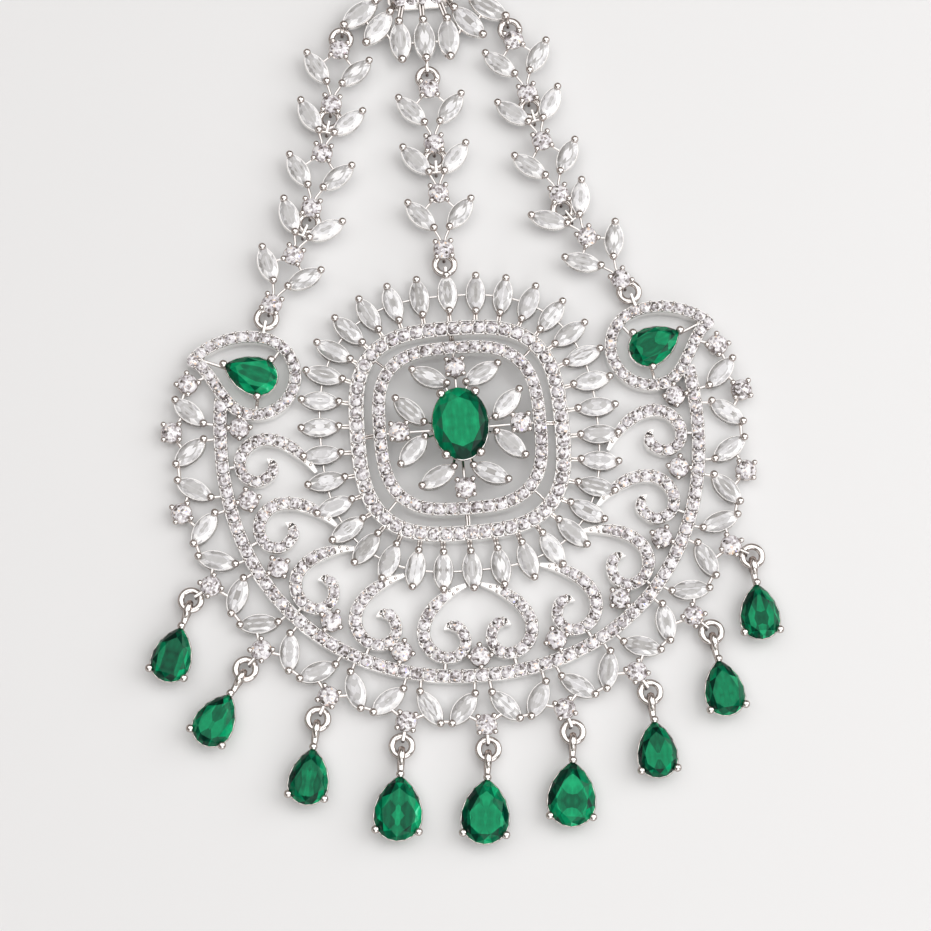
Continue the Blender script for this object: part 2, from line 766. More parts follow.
oval = ellipse(OVAL_LENGTH, OVAL_WIDTH)
green_gem("centre_oval_stone", oval, OVAL_CROWN, 1.4 * MM, 10, put(0, 0, OVAL_GIRDLE), "centre_stone",
          31, finish=OVAL_GREEN, calm=0.78, lean=0.72, bright=(-0.8, 0.9))
oval_loops = gallery_loops(
    oval, [(0.97, OVAL_GIRDLE - 0.35 * MM), (0.72, OVAL_GIRDLE - 1.7 * MM), (0.62, 0.3 * MM)], 40)
cup_parts = [drawn("oval_loops", oval_loops, thickness=0.4 * MM, closed=True)]
claws = []
for side in (-1, 1):
    for end in (-1, 1):
        x, y = oval(math.radians(54))
        out = Vector((side * x, end * y, 0))
        head = out * 1.035 + lifted(OVAL_GIRDLE + 0.3 * MM)
        claws.append([out * 0.62 + lifted(0.3 * MM),
                      out * 0.8 + lifted(OVAL_GIRDLE - 1.5 * MM), head])
        cup_parts.append(add_ball(CLAW_BALL, head, 18, 12))
cup_parts.append(drawn("oval_claws", claws, thickness=0.6 * MM, sides=2))
finish_piece(soldered("centre_claw_cup", cup_parts), WIRE_METAL, smooth=50)

# Crescent band and scrolls
# The crescent is one channel of small stones from medallion to medallion. Between it and the halo
# five comma scrolls a side uncurl, each a tapered channel, with a round stone beside every curl.
BAND_WIDE = 30.6 * MM
BAND_TALL = 31.95 * MM
BAND_BAR = 1.75 * MM
BAND_SQUARENESS = 2.17
BAND_RISE = 6.5 * MM
FLAT_TOP = 1.6 * MM
ACCENT_STEP = math.radians(19.0)
ACCENT_INSET = 2.45 * MM
SCROLL_BAR = 1.6 * MM
HALO_REACH = 7.3 * MM
FOOT_SHARE = 0.66
FOOT_RISE = 9.0 * MM
BARE_FOOT = 2.7 * MM
BARE_TIP = 1.1 * MM
CURL_RADIUS = 2.6 * MM
CRESCENT_TIE = 0.5 * MM
SIDES = ((-1, "left"), (1, "right"))
SCROLL_SHAPE = [
    # turn, reach, width
    (195, 2.85, 0.30),
    (181, 2.27, 0.68),
    (163, 1.79, 1.00),
    (137, 1.38, 1.05),
    (100, 1.09, 1.05),
    (54, 0.92, 1.05),
    (3, 0.94, 1.00),
    (-43, 1.06, 0.95),
    (-86, 1.04, 0.92),
    (-132, 0.88, 0.95),
    (-165, 0.66, 0.72),
    (-192, 0.42, 0.06),
]
SCROLLS = [
    # curl's angle from straight down, its share of the way from halo to band, turn
    (8.9, 0.56, 2),
    (27.4, 0.55, -9),
    (46.3, 0.56, -11),
    (65.8, 0.51, 12),
    (85.5, 0.54, 5),
]


def band_point(angle):
    return outline_point(BAND_WIDE, BAND_TALL, BAND_SQUARENESS, angle)


def smooth_run(knots, steps):
    """A soft curve through knots that each hold a point and a width."""
    ends = [knots[0] * 2 - knots[1], *knots, knots[-1] * 2 - knots[-2]]
    run = []
    for a, b, c, d in zip(ends, ends[1:], ends[2:], ends[3:]):
        for step in range(steps):
            t = step / steps
            run.append(0.5 * (2 * b + (c - a) * t + (2 * a - 5 * b + 4 * c - d) * t * t
                              + (3 * b - a - 3 * c + d) * t * t * t))
    run.append(knots[-1])
    return run


def scroll_run(curl_angle, curl_share, turn, hand):
    """A scroll's centre line and its width at each point."""
    angle = math.radians(curl_angle - 90)
    inner, _ = outline_point(OUTER_WIDE + HALO_REACH, OUTER_TALL + HALO_REACH, HALO_SQUARENESS, angle)
    outer, _ = band_point(angle)
    centre = inner.lerp(outer, curl_share)
    knots = []
    for step, reach, width in SCROLL_SHAPE:
        way = angle + math.radians(step + turn)
        point = centre + spoke(way) * CURL_RADIUS * reach
        knots.append(Vector((point.x * hand, point.y, width)))
    run = smooth_run(knots, 4)
    return [Vector((k.x, k.y, 0)) for k in run], [k.z for k in run]


def scroll_share(length):
    """A scroll rises from its low foot: its share of full height that far along it."""
    return min(FOOT_SHARE + length / FOOT_RISE, 1.0)


def level_tops(scroll, run, widths):
    """Gives a narrowed bar its height, and fills its channel where no stones go."""
    lengths = lengths_along(run)
    for vert in scroll.data.vertices:
        flat = Vector((vert.co.x, vert.co.y, 0))
        i = min(range(len(run)), key=lambda k: (run[k] - flat).length_squared)
        vert.co.z *= scroll_share(lengths[i]) / widths[i]
        bare = lengths[i] < BARE_FOOT - 0.2 * MM or lengths[i] > lengths[-1] - BARE_TIP + 0.2 * MM
        if bare and 0.5 * MM < vert.co.z < 1.36 * MM:
            vert.co.z += CHANNEL * 0.9


reach = math.atan2(BAND_RISE, BAND_WIDE)
band_path = [band_point(reach - (math.pi + 2 * reach) * k / 120)[0] for k in range(121)]
set_bar("crescent_band", band_path, BAND_BAR, FLAT_TOP, closed=False)
channels = [(band_path, BAND_BAR, FLAT_TOP, False)]
drilled = []
for hand, word in SIDES:
    for number, row in enumerate(SCROLLS, start=1):
        run, widths = scroll_run(*row, hand)
        scroll = drawn(f"{word}_scroll_{number}", [run],
                       channel_section(SCROLL_BAR, BAR_FOOT, FLAT_TOP), widths=widths)
        level_tops(scroll, run, widths)
        finish_piece(scroll, METAL, smooth=35)
        channels.append((run, [SCROLL_BAR * width for width in widths], FLAT_TOP, False,
                         BARE_FOOT, BARE_TIP))
        lengths = lengths_along(run)
        for distance, aside in ((1.2, 0.0), (2.0, 0.3), (2.2, -0.3)):
            point, direction = place_along(run, lengths, distance * MM)
            point = point + left_of(direction) * aside * MM
            level = FLAT_TOP * scroll_share(distance * MM) + 0.04 * MM
            drilled.append(put(point.x, point.y, level))
        point, _ = place_along(run, lengths, lengths[-1] - BARE_TIP * 0.6)
        drilled.append(put(point.x, point.y, FLAT_TOP + 0.05 * MM))
pave("crescent", channels, drilled)
accent_places, accent_wires = [], []
for k in range(-5, 6):
    point, normal = band_point(k * ACCENT_STEP - math.pi / 2)
    centre = point - normal * ACCENT_INSET
    accent_places.append(put(centre.x, centre.y, ROUND_GIRDLE, facing(normal)))
    accent_wires.append([point + lifted(0.9 * MM), centre + lifted(0.7 * MM)])
set_metal("accent_settings", tall_round, accent_places)
set_stones("accent_stones", round_gem, accent_places, SPARKLE, 41)
for row in SCROLLS:
    for hand in (-1, 1):
        run, _ = scroll_run(*row, hand)
        lowest = max(run, key=lambda point: point.length)
        joint, _ = band_point(math.atan2(lowest.y, lowest.x))
        accent_wires.append([lowest + lifted(0.8 * MM), joint + lifted(0.8 * MM)])
set_wires("crescent_ties", accent_wires, CRESCENT_TIE, sides=1)

# Medallions
# At both horns of the crescent a teardrop frame of small stones holds a green pear, which stands
# free inside it on three ball claws tied to the frame by short bars.
MEDALLION_INSET = 5.0 * MM
MEDALLION_RISE = 9.3 * MM
MEDALLION_WIDTH = 10.4 * MM
MEDALLION_TIP = 8.3 * MM
MEDALLION_BAR = 1.6 * MM
MEDALLION_TURN = math.radians(18.0)
MEDALLION_CLAWS = (90, 198, 342)
UPPER_BEND = 1.55
LOWER_BEND = 4.2
PEAR_WIDTH = 5.0 * MM
PEAR_LENGTH = 7.0 * MM
PEAR_GIRDLE = 2.2 * MM
PEAR_CROWN = 0.95 * MM
PEAR_BALL = 1.05 * MM
PEAR_WIRE = 0.34 * MM
PEAR_POST = 0.5 * MM
SIDE_ROUND = (34.3 * MM, 8.9 * MM)


def pear(length, width):
    def outline(angle):
        side, along = math.cos(angle), math.sin(angle)
        if along > 0:
            return width / 2 * side * abs(side) ** 0.55, (length - width / 2) * along
        return width / 2 * side, width / 2 * along

    return outline


def teardrop(angle):
    side, along = math.cos(angle), math.sin(angle)
    half = MEDALLION_WIDTH / 2
    if along > 0:
        bend = LOWER_BEND if side > 0 else UPPER_BEND
        return Vector((half * math.copysign(abs(side) ** bend, side), MEDALLION_TIP * along, 0))
    return Vector((half * side, half * along, 0))


def pear_setting(name, outline, claws, depth):
    """A pear's open setting: two gallery wires and three claws that end in balls."""
    levels = [(0.98, PEAR_GIRDLE - 0.3 * MM), (0.74, PEAR_GIRDLE - depth)]
    loops = gallery_loops(outline, levels, 32, math.pi / 2)
    parts = [drawn("pear_loops", loops, thickness=PEAR_WIRE, closed=True, sides=1)]
    posts = []
    for degrees in claws:
        x, y = outline(math.radians(degrees))
        out = Vector((x, y, 0))
        head = out + out.normalized() * 0.22 * MM + lifted(PEAR_GIRDLE + 0.28 * MM)
        posts.append([out * 0.74 + lifted(PEAR_GIRDLE - depth), head])
        parts.append(add_ball(PEAR_BALL, head, 16, 10))
    parts.append(drawn("pear_posts", posts, thickness=PEAR_POST, sides=2))
    return soldered(name, parts)


frames, side_places, medallion_ties = [], [], []
for hand, word in SIDES:
    mirror = Matrix.Diagonal((hand, 1, 1, 1))
    centre = put(BAND_WIDE - MEDALLION_INSET, MEDALLION_RISE, 0, MEDALLION_TURN - math.pi / 2)
    knots = [mirror @ centre @ teardrop(2 * math.pi * (k + 0.5) / 60) for k in range(60)]
    path = [(a + b * 2 + c) / 4 for a, b, c in zip(knots[-1:] + knots, knots, knots[1:] + knots[:1])]
    frames.append((path, MEDALLION_BAR, FLAT_TOP, True))
    set_bar(word + "_medallion_frame", path, MEDALLION_BAR, FLAT_TOP)
    turn = MEDALLION_TURN + math.radians(6) - math.pi / 2
    at = mirror @ put(BAND_WIDE - MEDALLION_INSET - 0.4 * MM, MEDALLION_RISE - 0.3 * MM, 0, turn)
    outline = pear(PEAR_LENGTH, PEAR_WIDTH)
    setting = pear_setting(word + "_medallion_claws", outline, MEDALLION_CLAWS, 1.5 * MM)
    setting.data.transform(at)
    if hand < 0:
        setting.data.flip_normals()
    finish_piece(setting, WIRE_METAL, smooth=50)
    gem_at = at @ Matrix.Translation((0, 0, PEAR_GIRDLE)) @ Matrix.Diagonal((hand, 1, 1, 1))
    green_gem(word + "_pear_stone", outline, PEAR_CROWN, 1.3 * MM, 9, gem_at, word + "_pear", 51 + hand)
    for degrees in MEDALLION_CLAWS:
        x, y = outline(math.radians(degrees))
        start = at @ Vector((x * 0.9, y * 0.9, 0.75 * MM))
        away = (at.to_3x3() @ Vector((x, y, 0))).normalized()
        end = min(path, key=lambda point: ((point - start).normalized() - away).length)
        medallion_ties.append([start, end + lifted(0.75 * MM)])
    side_places.append(put(hand * SIDE_ROUND[0], SIDE_ROUND[1], ROUND_GIRDLE))
pave("medallions", frames)

# Fringe
# Outside the crescent thirteen pairs of marquises open outwards, with a round stone in the mouth of
# each pair. Lugs below nine of the rounds carry the drops' rings.
FRINGE_WIDE = 36.8 * MM
FRINGE_TALL = 38.3 * MM
FRINGE_SQUARENESS = 2.1
FRINGE_TURNS = [0, 15.0, 30.3, 45.7, 61.5, 77.4, 94.1]
FRINGE_FOOT = 2.0 * MM
FRINGE_SPREAD = 0.95 * MM
FRINGE_LEAN = math.radians(42.0)
FRINGE_REACH = 6.2 * MM
DROP_REACH = 3.0 * MM
RING_RADIUS = 1.4 * MM
RING_WIRE = 0.84 * MM
RING_MIDDLE = 1.26 * MM
RING_LEVEL = 1.05 * MM
RING_GAP = 0.55 * MM
LUG_WIRE = 0.42 * MM
LUG_FOOT = 0.3 * MM
LUG_TOP = 1.82 * MM
LUG_HALF = 0.72 * MM


def fringe_unit(k):
    """The round's centre, the outward normal, and both marquises as foot and direction."""
    angle = math.radians(math.copysign(FRINGE_TURNS[abs(k)], k) - 90)
    centre, normal = outline_point(FRINGE_WIDE, FRINGE_TALL, FRINGE_SQUARENESS, angle)
    side = left_of(normal)
    pair = []
    for hand in (-1, 1):
        foot = centre - normal * (FRINGE_REACH - FRINGE_FOOT) + side * FRINGE_SPREAD * hand
        pair.append((foot, normal * math.cos(FRINGE_LEAN) + side * math.sin(FRINGE_LEAN) * hand))
    return centre, normal, pair


def lug(wire_point, direction):
    """A small upright loop that a flat jump ring passes through."""
    corners = ((-LUG_HALF, LUG_FOOT), (LUG_HALF, LUG_FOOT), (LUG_HALF, LUG_TOP), (-LUG_HALF, LUG_TOP))
    return [wire_point + direction * x + lifted(z) for x, z in corners]


fringe_places, fringe_rounds, fringe_high, fringe_wires, lugs = [], [], [], [], []
last_tip = None
for k in range(1 - len(FRINGE_TURNS), len(FRINGE_TURNS)):
    centre, normal, pair = fringe_unit(k)
    carries = abs(k) <= 4
    level = ROUND_GIRDLE + (0.6 * MM if carries else 0)
    (fringe_high if carries else fringe_rounds).append(
        put(centre.x, centre.y, level, facing(normal) + math.pi / 4))
    tie = lifted(1.0 * MM)
    for foot, direction in pair:
        fringe_places.append(leaf_place(foot, direction, LEAF_GIRDLE))
        flank = foot + direction * LEAF_LENGTH * 0.6
        fringe_wires.append([centre + lifted(level - 0.45 * MM), flank + tie])
        root = foot - normal * 1.3 * MM
        fringe_wires.append([foot + direction * 0.3 * MM + tie, root + tie * 0.9])
    tips = [foot + direction * (LEAF_LENGTH - BALL / 2) + tie * 1.2 for foot, direction in pair]
    if last_tip is not None:
        fringe_wires.append([last_tip, tips[0]])
    last_tip = tips[1]
    if carries:
        out = centre.normalized()
        ring = centre + out * DROP_REACH
        lugs.append(lug(ring - out * RING_RADIUS, out))
        head = ring - out * (RING_RADIUS + 0.5 * MM)
        fringe_wires.append([centre + lifted(1.7 * MM), head + lifted(LUG_TOP)])
for hand, place in zip((-1, 1), side_places):
    _, _, pair = fringe_unit(hand * (len(FRINGE_TURNS) - 1))
    foot, direction = pair[1 if hand > 0 else 0]
    level = lifted(1.0 * MM)
    fringe_wires.append([place.translation - lifted(0.5 * MM),
                         foot + direction * (LEAF_LENGTH - BALL) + level])
    inner = Vector((hand * 31.3 * MM, 9.9 * MM, 1.0 * MM))
    fringe_wires.append([place.translation - lifted(0.5 * MM), inner])
set_metal("fringe_galleries", tall_wires, fringe_places, METAL)
set_metal("fringe_balls", tall_balls, fringe_places)
set_metal("fringe_round_settings", tall_round, fringe_rounds + side_places)
set_metal("fringe_lug_settings", low_round, fringe_high)
set_stones("fringe_stones", leaf_gem, fringe_places, SOFT_SPARKLE, 61, **LEAF_GLINT)
set_stones("fringe_round_stones", round_gem, fringe_rounds + side_places + fringe_high, SPARKLE, 62)
set_wires("fringe_ties", fringe_wires + medallion_ties, FINE_WIRE * 1.5, sides=1)

# Jump rings and drops
# Nine green pears hang from jump rings of round wire. Each has an open three-claw setting, soldered
# to a bail of round wire that stands on edge through its ring. They lean as they fell on the table.
DROP_TIP = 3.95 * MM
DROP_LEANS = [-21, -33, -12.5, -8, -8, -7, 0, 5, 0]
LARGE_DROPS = (4, 5, 6)
LARGE_PEAR = (8.0 * MM, 6.0 * MM)
DROP_CLAWS = (90, 214, 326)
BAIL_WIRE = 0.94 * MM


def jump_ring(name, centre, node):
    """A ring of round wire lying flat."""
    deselect_all()
    bpy.ops.mesh.primitive_torus_add(
        major_segments=36, minor_segments=12, major_radius=RING_MIDDLE,
        minor_radius=RING_WIRE / 2, location=(centre.x, centre.y, RING_LEVEL),
    )
    ring = bpy.context.object
    ring.name = name
    bpy.ops.object.transform_apply(location=True)
    finish_piece(ring, WIRE_METAL, node, slot="polished_silver_metal", smooth=60)


def bail(reach):
    """The wire loop on edge through a drop's ring, and the tail that runs from it to the claw."""
    low, high = 0.32 * MM, 1.85 * MM
    near, far = -RING_RADIUS + 0.95 * MM, -RING_RADIUS - 0.75 * MM
    middle = (low + high) / 2
    loop = []
    for angle in full_turn(16):
        y = (near + far) / 2 + (near - far) / 2 * math.cos(angle)
        loop.append(Vector((0, y, middle + (high - low) / 2 * math.sin(angle))))
    return loop, [Vector((0, far, middle)), Vector((0, (far - reach) / 2, middle * 1.1)),
                  Vector((0, -reach, 1.5 * MM))]


half = len(DROP_LEANS) // 2
for number, lean in enumerate(DROP_LEANS, start=1):
    length, width = LARGE_PEAR if number in LARGE_DROPS else (PEAR_LENGTH, PEAR_WIDTH)
    centre, normal, _ = fringe_unit(number - 1 - half)
    ring = centre + centre.normalized() * DROP_REACH
    jump_ring(f"drop_jump_ring_{number}", ring, f"drop_ring_{number}")
    outline = pear(length, width)
    place = put(ring.x, ring.y, 0, math.radians(lean))
    seat = Matrix.Translation((0, -(DROP_TIP + length - width / 2), 0))
    claws = pear_setting("claws", outline, DROP_CLAWS, 1.6 * MM)
    claws.data.transform(seat)
    loop, tail = bail(DROP_TIP)
    hanger = drawn("bail", [loop], thickness=BAIL_WIRE, closed=True)
    neck = drawn("neck", [tail], thickness=BAIL_WIRE, widths=[1.0, 0.85, 0.66])
    setting = soldered(f"drop_claws_{number}", [claws, hanger, neck])
    setting.data.transform(place)
    finish_piece(setting, WIRE_METAL, f"drop_setting_{number}", slot="polished_silver_metal",
                 smooth=50)
    gem_at = place @ seat @ Matrix.Translation((0, 0, PEAR_GIRDLE))
    green_gem(f"drop_pear_{number}", outline, PEAR_CROWN, 1.4 * MM, 9, gem_at,
              f"drop_stone_{number}", 70 + number)
set_wires("lugs", lugs, LUG_WIRE, closed=True)

# Chains
# Three chains of cast leaf links run up to the top piece: each pair of marquises opens upwards from
# two fine wires at a round stone, and jump rings join link to link.
CHAIN_LEAF = 5.3 * MM
CHAIN_GIRDLE = 2.1 * MM
CHAIN_SPREAD = 0.92 * MM
CHAIN_LEAN = math.radians(40.5)
CHAIN_FOOT = 2.85 * MM
CHAIN_WIRE = 0.34 * MM
PITCH = 7.75 * MM
SHORT_PITCH = 7.2 * MM
EYE_SHIFT = 0.45 * MM
CROTCH = 2.25 * MM
MEDALLION_EYE = (24.3 * MM, 14.33 * MM, 14.6)
CHAIN_LINKS = {
    # from the pendant up: kind, pitch of its rounds, lean from straight down in degrees
    "left": [("double", SHORT_PITCH, -27.0), ("double", PITCH, -15.0), ("single", PITCH, -12.0)],
    "centre": [("double", PITCH, 0.0), ("single", PITCH, 0.0)],
    "right": [("double", SHORT_PITCH, 32.0), ("double", PITCH, 11.5), ("single", PITCH, 8.5)],
}


def down(degrees):
    return Vector((math.sin(math.radians(degrees)), -math.cos(math.radians(degrees)), 0))


def leaning(hand, lean):
    """The direction up the chains, leaning that far to one side."""
    return Vector((hand * math.sin(lean), math.cos(lean), 0))


def link_parts(kind, pitch):
    """A link's places for marquises and rounds, its wires and its eyes, with its chain down -Y."""
    leaves, rounds, wires, eyes = [], [], [], []
    rises = [-pitch, 0] if kind == "double" else [-pitch]
    for rise in rises:
        for hand in (-1, 1):
            foot = Vector((hand * CHAIN_SPREAD, rise + CHAIN_FOOT, 0))
            direction = leaning(hand, CHAIN_LEAN)
            leaves.append(leaf_place(foot, direction, CHAIN_GIRDLE))
            wires.append([foot + direction * 0.4 * MM + lifted(2.1 * MM),
                          Vector((hand * 0.35 * MM, rise + 1.5 * MM, 1.95 * MM)),
                          Vector((hand * 0.25 * MM, rise + 0.7 * MM, 1.9 * MM))])
            if rise < 0:
                flank = foot + direction * CHAIN_LEAF * 0.6 - Vector((hand * 0.7 * MM, 0, 0))
                wires.append([Vector((hand * 0.5 * MM, -0.5 * MM, 1.85 * MM)),
                              flank + lifted(1.9 * MM)])
    for rise in (0, -pitch):
        rounds.append(put(0, rise, CHAIN_GIRDLE, math.pi / 4))
    eyes.append(lug(Vector((0, -pitch - EYE_SHIFT, 0)), Vector((0, -1, 0))))
    if kind == "single":
        eyes.append(lug(Vector((0, EYE_SHIFT, 0)), Vector((0, 1, 0))))
    else:
        ring = CHAIN_FOOT + CROTCH
        eyes.append(lug(Vector((0, ring - RING_RADIUS, 0)), Vector((0, -1, 0))))
        wires.append([Vector((-CHAIN_SPREAD, CHAIN_FOOT, 1.85 * MM)),
                      Vector((0, CHAIN_FOOT + 0.15 * MM, 1.82 * MM)),
                      Vector((CHAIN_SPREAD, CHAIN_FOOT, 1.85 * MM))])
    return leaves, rounds, wires, eyes


def chain_layout(name):
    """From the pendant up: ring centres, and each link's kind, pitch, origin and turn."""
    hand = {"left": -1, "right": 1}.get(name)
    if hand:
        toward = down(hand * MEDALLION_EYE[2])
        ring = Vector((hand * MEDALLION_EYE[0], MEDALLION_EYE[1], 0))
        ring = ring - toward * (MEDALLION_BAR / 2 + RING_RADIUS + RING_GAP)
    else:
        foot, normal = halo_leaf(HALO_COUNT // 2)
        ring = foot + normal * (LEAF_LENGTH + RING_RADIUS + 0.25 * MM)
    rings, links = [ring], []
    for kind, pitch, lean in CHAIN_LINKS[name]:
        up = -down(lean)
        below = RING_RADIUS + EYE_SHIFT
        origin = ring + up * (below + pitch)
        links.append((kind, pitch, origin, facing(up)))
        ring = origin + up * (below if kind == "single" else CHAIN_FOOT + CROTCH)
        rings.append(ring)
    return rings, links


for name in CHAIN_LINKS:
    rings, links = chain_layout(name)
    for number, ring in enumerate(reversed(rings), start=1):
        jump_ring(f"{name}_jump_ring_{number}", ring, f"{name}_ring_{number}")
    for number, (kind, pitch, origin, turn) in enumerate(reversed(links), start=1):
        leaves, rounds, wires, eyes = link_parts(kind, pitch)
        place = put(origin.x, origin.y, 0, turn)
        word = f"{name}_leaf_link_{number}"
        leaves = [place @ leaf for leaf in leaves]
        set_metal(word + "_galleries", low_wires, leaves, METAL)
        balls = copies(word + "_balls", low_balls, leaves)
        cups = copies(word + "_cups", low_round, [place @ spot for spot in rounds])
        rods = drawn(word + "_rods", wires, thickness=CHAIN_WIRE, sides=1)
        rods.data.transform(place)
        loops = drawn(word + "_loops", eyes, thickness=LUG_WIRE, closed=True)
        loops.data.transform(place)
        metal = soldered(word, [balls, cups, rods, loops])
        finish_piece(metal, WIRE_METAL, f"{name}_link_{number}", smooth=50)
        seed = 100 + number + len(name) * 7
        set_stones(word + "_stones", leaf_gem, leaves, SOFT_SPARKLE, seed, **LEAF_GLINT)
        set_stones(word + "_rounds", round_gem, [place @ spot for spot in rounds], SPARKLE, seed + 1)
hangers = [lug(chain_layout("centre")[0][0] - Vector((0, RING_RADIUS, 0)), Vector((0, -1, 0)))]
for hand, name in SIDES:
    toward = down(hand * MEDALLION_EYE[2])
    hangers.append(lug(chain_layout(name)[0][0] + toward * RING_RADIUS, toward))

# Top piece
# A stone-paved plate with seven marquises fanned below it, which the chains hang from. The photo
# ends at its lower edge, so the plate above is a plain long octagon.
PLATE_WIDTH = 8.8 * MM
PLATE_LENGTH = 10.0 * MM
PLATE_CORNER = 1.0 * MM
PLATE_TOP = 1.8 * MM
PLATE_GAP = 1.85 * MM
PLATE_STONE_STEP = 1.62 * MM
PLATE_ROW_STEP = 1.57 * MM
FAN_LENGTH = 5.9 * MM
FAN_SIZE = 1.13
FAN_STEP = 3.2 * MM
FAN_WIRE = 0.36 * MM
FAN_OUTER_TIP = (7.9 * MM, 2.8 * MM)
FAN_OUTER_LEAN = math.radians(40)
FAN_END_LEAN = math.radians(55)
FAN_HANG_LEAN = math.radians(12)

up = Vector((0, 1, 0))
centre_ring = chain_layout("centre")[0][-1]
eye_reach = RING_RADIUS + 0.75 * MM
fan_line = centre_ring.y + eye_reach
plate_low = fan_line + FAN_LENGTH + PLATE_GAP
fan_places, fan_wires, fan_feet = [], [], []
hangers.append(lug(centre_ring + up * RING_RADIUS, up))
for step in (-1, 0, 1):
    foot = Vector((step * FAN_STEP, fan_line, 0))
    fan_feet.append((foot, up, Vector((step * FAN_STEP * 0.8, plate_low + 0.5 * MM, 0))))
for hand, name in SIDES:
    foot = Vector((hand * FAN_OUTER_TIP[0], fan_line + FAN_OUTER_TIP[1], 0))
    toward = leaning(-hand, FAN_OUTER_LEAN)
    fan_feet.append((foot, toward, Vector((hand * PLATE_WIDTH * 0.4, plate_low + PLATE_CORNER, 0))))
    ring = chain_layout(name)[0][-1]
    hang = leaning(-hand, FAN_HANG_LEAN)
    hangers.append(lug(ring + hang * RING_RADIUS, hang))
    foot = ring + hang * RING_RADIUS
    toward = leaning(-hand, FAN_END_LEAN)
    fan_feet.append((foot, toward, Vector((hand * PLATE_WIDTH * 0.45, plate_low + 3 * MM, 0))))
for foot, direction, inside in fan_feet:
    middle = foot + direction * FAN_LENGTH / 2
    fan_places.append(put(middle.x, middle.y, CHAIN_GIRDLE, facing(direction), FAN_SIZE))
    head = foot + direction * (FAN_LENGTH - 0.3 * MM)
    side = left_of(direction) * 0.2 * MM
    for hand in (-1, 1):
        fan_wires.append([head + side * hand + lifted(1.9 * MM),
                          inside + side * hand + lifted(1.4 * MM)])
ordered = sorted(fan_feet, key=lambda row: row[0].x)
for (a, way_a, _), (b, way_b, _) in zip(ordered, ordered[1:]):
    fan_wires.append([a + way_a * FAN_LENGTH * 0.45 + Vector((0.9 * MM, 0, 1.7 * MM)),
                      b + way_b * FAN_LENGTH * 0.45 + Vector((-0.9 * MM, 0, 1.7 * MM))])
set_metal("fan_galleries", low_wires, fan_places, METAL)
fan_parts = [copies("fan_balls", low_balls, fan_places),
             drawn("fan_rods", fan_wires, thickness=FAN_WIRE, sides=1)]
finish_piece(soldered("fan_settings", fan_parts), WIRE_METAL, "top_piece", smooth=50)
set_stones("fan_stones", leaf_gem, fan_places, SOFT_SPARKLE, 81, **LEAF_GLINT)
set_wires("hanger_loops", hangers, LUG_WIRE, closed=True)

deselect_all()
bpy.ops.mesh.primitive_cube_add(size=1, location=(0, plate_low + PLATE_LENGTH / 2, PLATE_TOP / 2))
plate = bpy.context.object
plate.name = "top_plate"
plate.scale = (PLATE_WIDTH, PLATE_LENGTH, PLATE_TOP - 0.1 * MM)
bpy.ops.object.transform_apply(location=True, rotation=True, scale=True)
bpy.ops.object.mode_set(mode="EDIT")
bpy.ops.mesh.select_all(action="DESELECT")
bpy.ops.object.mode_set(mode="OBJECT")
for edge in plate.data.edges:
    a, b = (plate.data.vertices[i].co for i in edge.vertices)
    edge.select = abs(a.z - b.z) > MM
bpy.ops.object.mode_set(mode="EDIT")
bpy.ops.mesh.select_mode(type="EDGE")
bpy.ops.mesh.bevel(offset=PLATE_CORNER, segments=1)
bpy.ops.mesh.select_mode(type="FACE")
bpy.ops.mesh.select_all(action="DESELECT")
bpy.ops.object.mode_set(mode="OBJECT")
for face in plate.data.polygons:
    face.select = face.normal.z > 0.9
bpy.ops.object.mode_set(mode="EDIT")
bpy.ops.mesh.inset(thickness=0.3 * MM)
bpy.ops.mesh.extrude_region_move(TRANSFORM_OT_translate={"value": (0, 0, -0.25 * MM)})
bpy.ops.object.mode_set(mode="OBJECT")
finish_piece(plate, METAL, smooth=30)
plate_stones, plate_beads = [], []
chance = random.Random(5)
for row in range(6):
    for column in range(6):
        x = (column - 2.5) * PLATE_STONE_STEP + (0.4 * MM if row % 2 else -0.4 * MM)
        y = plate_low + 1.1 * MM + row * PLATE_ROW_STEP
        corner = PLATE_CORNER - min(y - plate_low, plate_low + PLATE_LENGTH - y)
        if abs(x) > PLATE_WIDTH / 2 - 0.8 * MM - max(0.0, corner) * 0.6:
            continue
        plate_stones.append(put(x, y, PLATE_TOP - 0.05 * MM, chance.uniform(0, 3)))
        for dx, dy in ((0.81, 0.5), (-0.81, 0.5)):
            plate_beads.append(put(x + dx * MM, y + dy * MM, PLATE_TOP))
set_stones("top_plate_stones", small_stone, plate_stones, SPARKLE, 83)
set_metal("top_plate_beads", small_bead, plate_beads, smooth=60)

# Hair hook
# Beyond the photo's edge the ornament hangs in the hair from a hook. It is finished here as one
# plain piece of bent round wire with a ring end in the plate's upper loop.
HOOK_WIRE = 0.9 * MM
HOOK_SHANK = 9.0 * MM
HOOK_GAP = 3.2 * MM
HOOK_RETURN = 5.0 * MM

hook_ring = Vector((0, plate_low + PLATE_LENGTH + RING_RADIUS + RING_GAP, RING_LEVEL))
circle = [hook_ring + spoke(turn) * RING_RADIUS for turn in full_turn(32)]
eye = drawn("hook_eye", [circle], thickness=RING_WIRE, closed=True)
bend = hook_ring + up * (RING_RADIUS + HOOK_SHANK)
radius = (HOOK_GAP + HOOK_WIRE) / 2
shank = [hook_ring + up * RING_RADIUS, hook_ring + up * (RING_RADIUS + HOOK_SHANK / 2)]
for step in range(17):
    angle = math.pi - math.pi * step / 16
    shank.append(bend + Vector((radius + radius * math.cos(angle), radius * math.sin(angle), 0)))
shank.append(shank[-1] - up * HOOK_RETURN)
stem = drawn("hook_stem", [shank], thickness=HOOK_WIRE, sides=4)
hook = soldered("wire_hair_hook", [eye, stem])
finish_piece(hook, WIRE_METAL, "hair_hook", slot="polished_silver_metal", smooth=50)
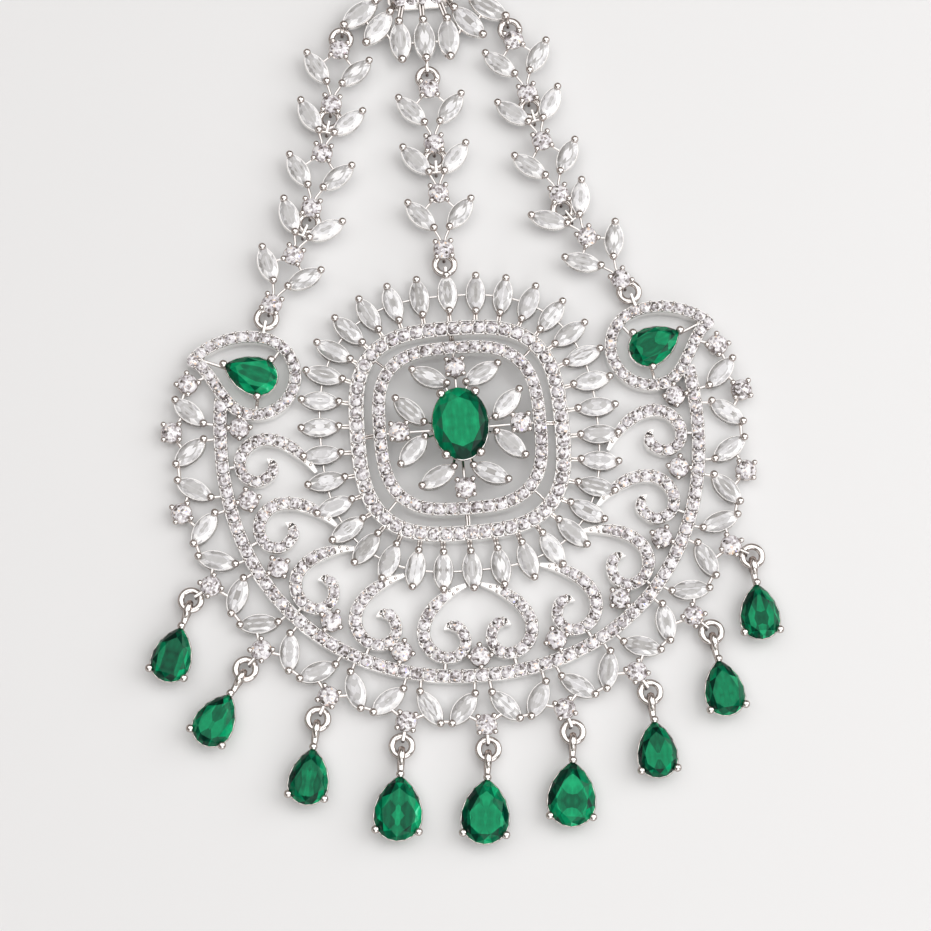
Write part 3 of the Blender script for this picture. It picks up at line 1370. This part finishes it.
top_lug = lug(hook_ring - Vector((0, RING_RADIUS, RING_LEVEL)), -up)
set_wires("plate_loop", [top_lug], LUG_WIRE, closed=True)

for model in (small_stone, small_bead, leaf_gem, round_gem, tall_wires, tall_balls, low_wires,
              low_balls, tall_round, low_round):
    bpy.data.objects.remove(model)

# Table, light and camera
# The ornament lies face up on a plain pale table in soft window light from the right, seen from
# almost straight above.
TABLE_SIZE = 3.0
TABLE_DROP = 0.02 * MM

deselect_all()
bpy.ops.mesh.primitive_plane_add(size=TABLE_SIZE, location=(0, 0, -TABLE_DROP))
table = bpy.context.object
table.name = "pale_table"
paper, start, shader = new_finish("pale_table", Roughness=0.6)
shader.inputs["Base Color"].default_value = (0.83, 0.835, 0.84, 1)
table.data.materials.append(paper)

world = bpy.data.worlds.new("soft_room")
bpy.context.scene.world = world
world.use_nodes = True
world.node_tree.nodes["Background"].inputs["Color"].default_value = (0.17, 0.145, 0.13, 1)
world.node_tree.nodes["Background"].inputs["Strength"].default_value = 0.95

for name, place, size, power in (
    ("window", (0.62, 0.05, 0.50), 0.80, 4.05),
    ("ceiling", (-0.10, 0.15, 0.80), 1.20, 4.95),
    ("near_card", (0.20, -0.75, 0.42), 0.80, 2.85),
):
    light = bpy.data.lights.new(name, "AREA")
    light.shape = "SQUARE"
    light.size = size
    light.energy = power
    lamp = linked(name, light)
    lamp.location = place
    lamp.rotation_mode = "QUATERNION"
    lamp.rotation_quaternion = (-Vector(place)).to_track_quat("-Z", "Y")

VIEW_HEIGHT = math.radians(75)
VIEW_SIDE = math.radians(12)
VIEW_ROLL = math.radians(7.2245)
VIEW_DISTANCE = 380 * MM
PIXELS = 931
PIXELS_A_MM = 7.8
SENSOR_WIDTH = 36
AIM = Vector((0.4107, -4.3142, 0)) * MM
look = Vector((
    math.sin(VIEW_SIDE) * math.cos(VIEW_HEIGHT),
    math.cos(VIEW_SIDE) * math.cos(VIEW_HEIGHT),
    -math.sin(VIEW_HEIGHT),
))
level_right = Vector((math.cos(VIEW_SIDE), -math.sin(VIEW_SIDE), 0))
level_up = level_right.cross(look)
right = level_right * math.cos(VIEW_ROLL) + level_up * math.sin(VIEW_ROLL)
above = level_up * math.cos(VIEW_ROLL) - level_right * math.sin(VIEW_ROLL)
eye = AIM - look * VIEW_DISTANCE
camera = linked("camera", bpy.data.cameras.new("camera"))
camera.data.sensor_width = SENSOR_WIDTH
camera.data.lens = SENSOR_WIDTH * PIXELS_A_MM * VIEW_DISTANCE / MM / PIXELS
camera.data.clip_start = 0.01
camera.matrix_world = Matrix((
    (right.x, above.x, -look.x, eye.x),
    (right.y, above.y, -look.y, eye.y),
    (right.z, above.z, -look.z, eye.z),
    (0, 0, 0, 1),
))
bpy.context.scene.camera = camera
bpy.context.scene.view_settings.view_transform = "Standard"

bpy.context.view_layer.update()
